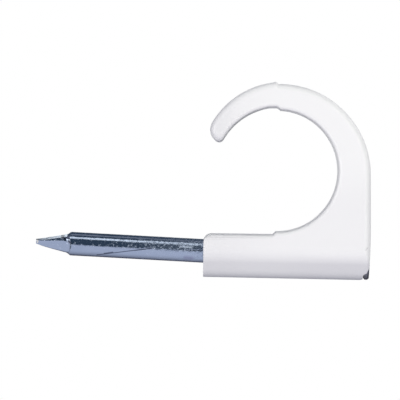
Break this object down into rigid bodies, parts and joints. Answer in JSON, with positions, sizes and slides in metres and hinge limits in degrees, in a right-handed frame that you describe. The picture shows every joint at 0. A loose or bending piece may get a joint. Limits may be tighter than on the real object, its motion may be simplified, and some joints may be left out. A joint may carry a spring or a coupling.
{
  "type": "nail in cable clip",
  "caption": "Moulded plastic hook clip that holds a round cable against a wall, with a steel nail held in its sleeve.",
  "frame": {"origin": "where the axis of the nail's bore crosses the foot plane, which lies against the wall", "axes": "+X out of the wall along the bore, +Z from the sleeve towards the hook, the cable runs along Y"},
  "size_m": [0.0353, 0.0062, 0.0208],
  "materials": {
    "white_plastic": "white, satin moulded",
    "zinc_plated_steel": "bright bluish zinc plate"
  },
  "bodies": {
    "root": {"clip_body": "white_plastic", "nail": "zinc_plated_steel"}
  },
  "joints": []
}
